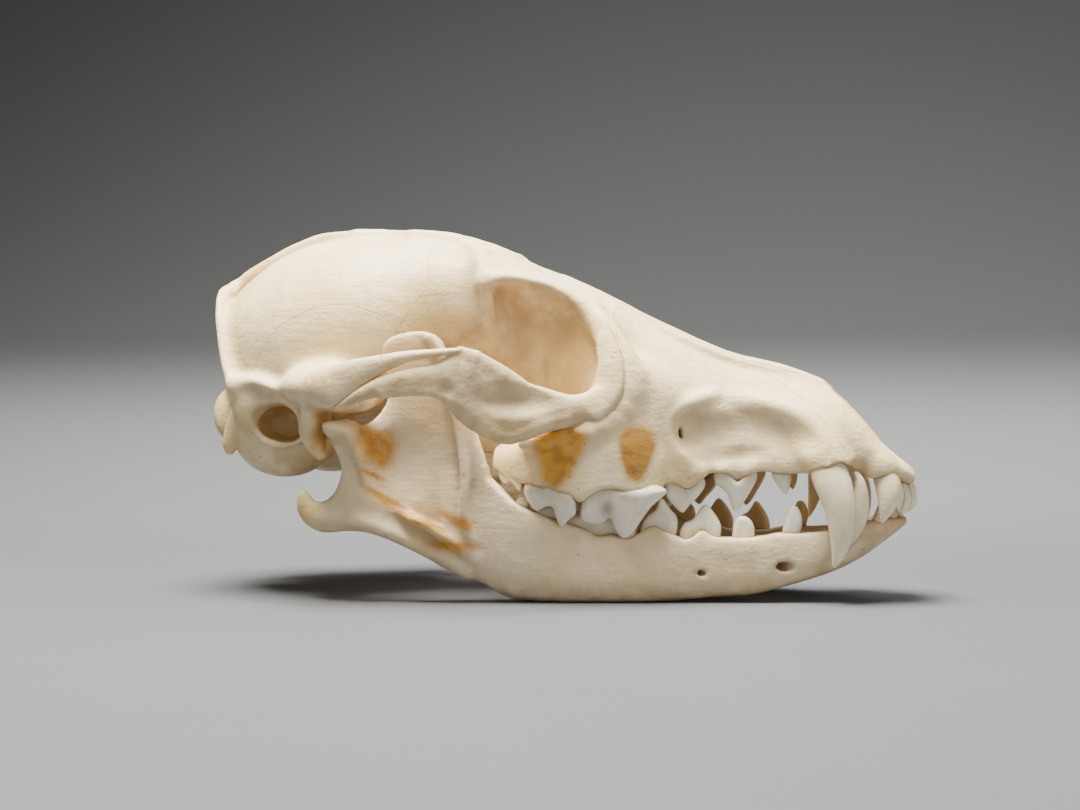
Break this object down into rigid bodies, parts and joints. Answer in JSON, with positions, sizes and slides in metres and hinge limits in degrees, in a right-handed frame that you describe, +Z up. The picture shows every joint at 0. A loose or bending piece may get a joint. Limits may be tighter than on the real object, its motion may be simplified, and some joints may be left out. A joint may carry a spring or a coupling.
{
  "type": "jackal skull",
  "caption": "Life-size skull of a jackal with its lower jaw closed, all teeth shown, standing on the lower edge of the jaw as a still display model.",
  "frame": {"origin": "middle of the skull's length and width, on the surface that it stands on", "axes": "+X to the nose, +Y to the animal's left, +Z up"},
  "size_m": [0.1548, 0.0854, 0.08],
  "materials": {
    "bone": "dry ivory bone, slightly satin",
    "bone_cheek": "dry ivory bone, slightly satin",
    "bone_jaw": "dry ivory bone, slightly satin"
  },
  "bodies": {
    "root": {"cranium": "bone", "cheekbone_right": "bone_cheek", "cheekbone_left": "bone_cheek", "mandible_right": "bone_jaw", "mandible_left": "bone_jaw"}
  },
  "joints": []
}
